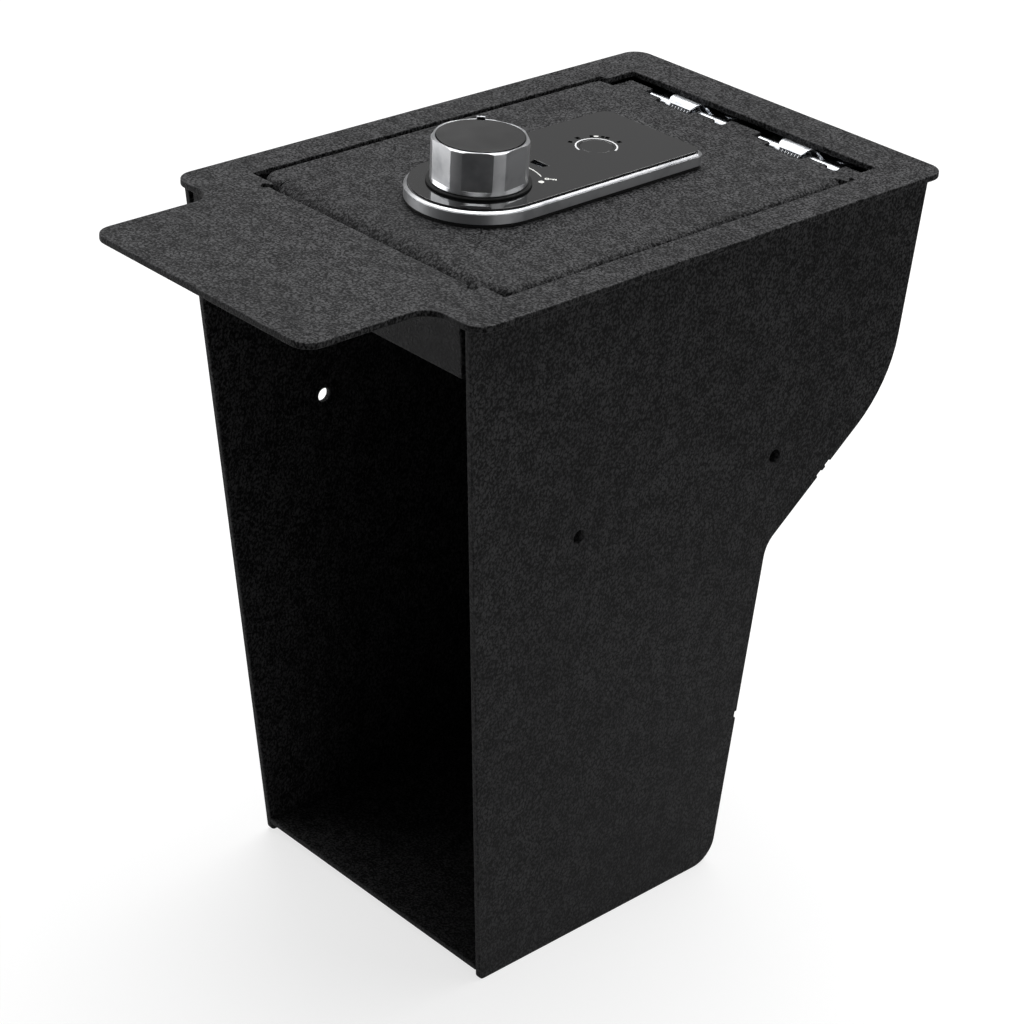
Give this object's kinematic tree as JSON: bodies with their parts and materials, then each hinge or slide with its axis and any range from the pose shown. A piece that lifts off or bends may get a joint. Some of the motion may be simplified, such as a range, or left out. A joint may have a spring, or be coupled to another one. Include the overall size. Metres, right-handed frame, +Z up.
{
  "type": "console safe",
  "caption": "Sheet steel bin for a vehicle console with a hinged lid, a knob lock with finger sensor and key override, and an open front.",
  "frame": {"origin": "middle of the object's box, on the plane of the side panels' lower edges", "axes": "+Z up, +X toward the object's right side, -Y toward the front with the tab and the open face, +Y toward the hinges"},
  "size_m": [0.196, 0.3446, 0.3746],
  "materials": {
    "powder_coat": "black wrinkled powder coat",
    "zinc_steel": "zinc plated",
    "spring_steel": "bright spring wire",
    "hinge_steel": "bright nickel plate",
    "lock_chrome": "polished",
    "gloss_black": "glossy",
    "satin_black": "satin",
    "white_print": "printed white",
    "light_guide": "milky clear",
    "black_rubber": "matt",
    "case_plastic": "moulded black",
    "board_green": "solder mask",
    "cell_wrap": "printed wrap, blank",
    "brass": "machined",
    "copper_coil": "wound wire under varnish"
  },
  "bodies": {
    "shell": {"top_plate": "powder_coat", "left_side_panel": "powder_coat", "right_side_panel": "powder_coat", "rear_wall": "powder_coat", "floor_plate": "powder_coat", "front_header": "powder_coat", "hinge_rail": "powder_coat", "left_lid_ledge": "powder_coat", "right_lid_ledge": "powder_coat", "lid_bumpers": "black_rubber", "latch_keeper": "zinc_steel", "left_fixed_leaf": "hinge_steel", "right_fixed_leaf": "hinge_steel", "left_hinge_pin": "hinge_steel", "right_hinge_pin": "hinge_steel", "left_hinge_spring": "spring_steel", "right_hinge_spring": "spring_steel", "rail_rivets": "zinc_steel"},
    "lid": {"lid_panel": "powder_coat", "hinge_doubler": "powder_coat", "left_lid_leaf": "hinge_steel", "right_lid_leaf": "hinge_steel", "lid_leaf_screws": "zinc_steel", "lock_gasket": "black_rubber", "lock_bezel": "lock_chrome", "lock_face": "gloss_black", "sensor_window": "gloss_black", "sensor_module": "board_green", "sensor_ring": "light_guide", "face_marks": "white_print", "power_port": "zinc_steel", "spindle_bush": "brass", "lock_case": "case_plastic", "lock_screws": "zinc_steel", "circuit_board": "board_green", "board_parts": "case_plastic", "battery_cells": "cell_wrap", "battery_contacts": "zinc_steel", "solenoid_coil": "copper_coil"},
    "knob": {"knob_grip": "lock_chrome", "knob_skirt": "satin_black", "key_cylinder": "lock_chrome", "spindle": "zinc_steel", "locking_drum": "zinc_steel", "cam": "zinc_steel", "cam_nut": "zinc_steel"},
    "knob_cap": {"knob_cap": "satin_black"},
    "key_plug": {"key_plug": "brass"},
    "plunger": {"solenoid_plunger": "zinc_steel"},
    "battery_cover": {"battery_cover": "case_plastic"}
  },
  "joints": [
    {"name": "lid_hinge", "type": "hinge", "parent": "shell", "child": "lid", "pos_m": [0, 0.14405, 0.3366], "axis": [-1, 0, 0], "range_deg": [0, 90]},
    {"name": "knob_turn", "type": "hinge", "parent": "lid", "child": "knob", "pos_m": [0, -0.02145, 0.353], "axis": [0, 0, -1], "range_deg": [0, 90]},
    {"name": "cap_pull", "type": "slide", "parent": "knob", "child": "knob_cap", "axis": [0, 0, 1], "range_m": [0, 0.02]},
    {"name": "key_turn", "type": "hinge", "parent": "knob", "child": "key_plug", "pos_m": [0, -0.02145, 0.363], "axis": [0, 0, 1], "range_deg": [0, 90]},
    {"name": "battery_cover_slide", "type": "slide", "parent": "lid", "child": "battery_cover", "axis": [0, 1, 0], "range_m": [0, 0.07]},
    {"name": "plunger_slide", "type": "slide", "parent": "lid", "child": "plunger", "axis": [0, 1, 0], "range_m": [0, 0.003], "stiffness_N_per_m": 60}
  ]
}
